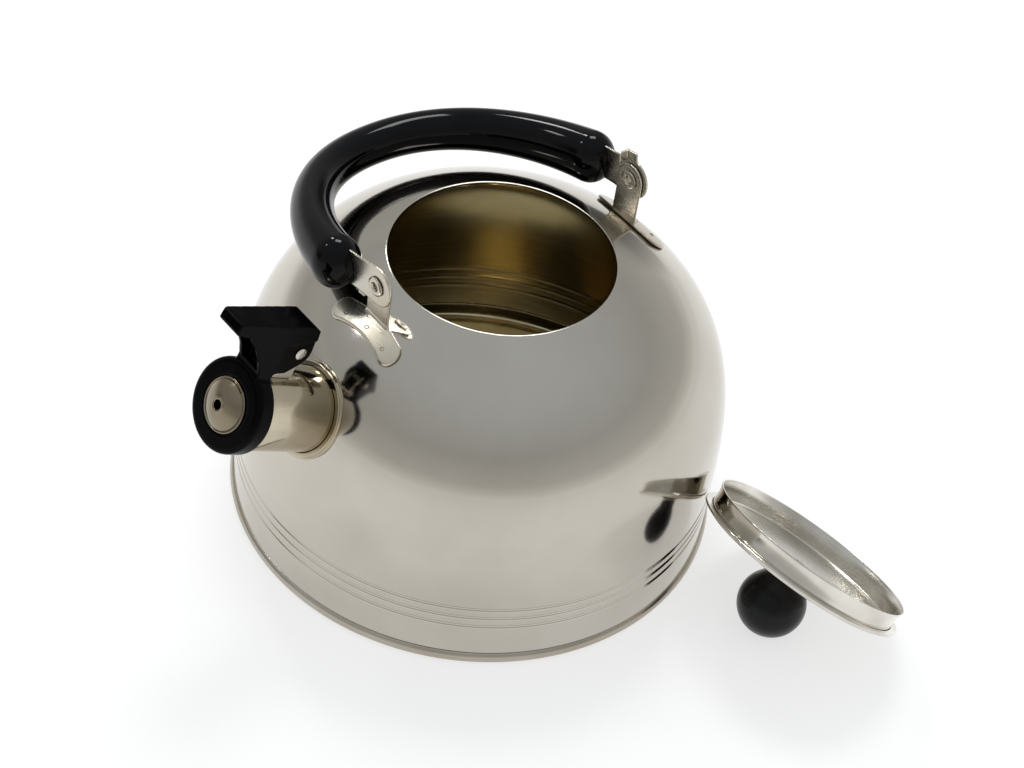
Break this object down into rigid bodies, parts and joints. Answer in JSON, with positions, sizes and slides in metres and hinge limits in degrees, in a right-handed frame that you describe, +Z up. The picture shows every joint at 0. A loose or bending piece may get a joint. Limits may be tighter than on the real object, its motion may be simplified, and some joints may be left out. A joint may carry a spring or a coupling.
{
  "type": "whistling kettle",
  "caption": "Stovetop kettle with a domed steel body, a bail handle folded back, a sprung whistle cap on the spout and a knobbed lid leaning beside it.",
  "frame": {"origin": "centre of the round base on the surface it stands on", "axes": "+Z up along the kettle's axis, -X towards the spout, +Y towards the side the handle is folded to"},
  "size_m": [0.2605, 0.3002, 0.1659],
  "materials": {
    "polished_stainless_steel": "mirror polished stainless steel",
    "drawn_stainless_steel": "bright drawn stainless steel",
    "stamped_stainless_steel": "stamped, lightly brushed stainless steel",
    "brushed_stainless_steel": "brushed stainless steel",
    "cast_aluminium": "plain heat-spreading disc",
    "spring_wire": "drawn spring wire",
    "black_bakelite": "high gloss black phenolic",
    "black_moulded_plastic": "semi-gloss black phenolic"
  },
  "bodies": {
    "kettle": {"body_shell": "polished_stainless_steel", "base_pan": "brushed_stainless_steel", "base_core": "cast_aluminium", "base_cap": "brushed_stainless_steel", "spout_tube": "drawn_stainless_steel", "spout_ring": "drawn_stainless_steel", "cap_lug": "stamped_stainless_steel", "hinge_pin": "stamped_stainless_steel", "cap_spring": "spring_wire", "bracket_front": "stamped_stainless_steel", "bracket_rear": "stamped_stainless_steel", "rivet_front": "stamped_stainless_steel", "rivet_rear": "stamped_stainless_steel"},
    "handle": {"strap_front": "stamped_stainless_steel", "strap_rear": "stamped_stainless_steel", "handle_grip": "black_bakelite"},
    "whistle_cap": {"cap_lever": "black_moulded_plastic", "whistle_dome": "drawn_stainless_steel", "whistle_disc": "drawn_stainless_steel"},
    "lid": {"lid_cover": "polished_stainless_steel", "lid_pan": "polished_stainless_steel", "lid_knob": "black_bakelite", "knob_plate": "stamped_stainless_steel", "knob_screw": "stamped_stainless_steel"}
  },
  "joints": [
    {"name": "handle_swing", "type": "hinge", "parent": "kettle", "child": "handle", "pos_m": [0, 0, 0.14953], "axis": [1, 0, 0], "range_deg": [0, 154]},
    {"name": "whistle_flip", "type": "hinge", "parent": "kettle", "child": "whistle_cap", "pos_m": [-0.10748, 0, 0.13869], "axis": [0, 1, 0], "range_deg": [0, 75], "stiffness_Nm_per_rad": 0.03, "springref_deg": -28.65},
    {"name": "lid_lift", "type": "slide", "parent": "kettle", "child": "lid", "axis": [0, 0, 1], "range_m": [0, 0.18]}
  ]
}
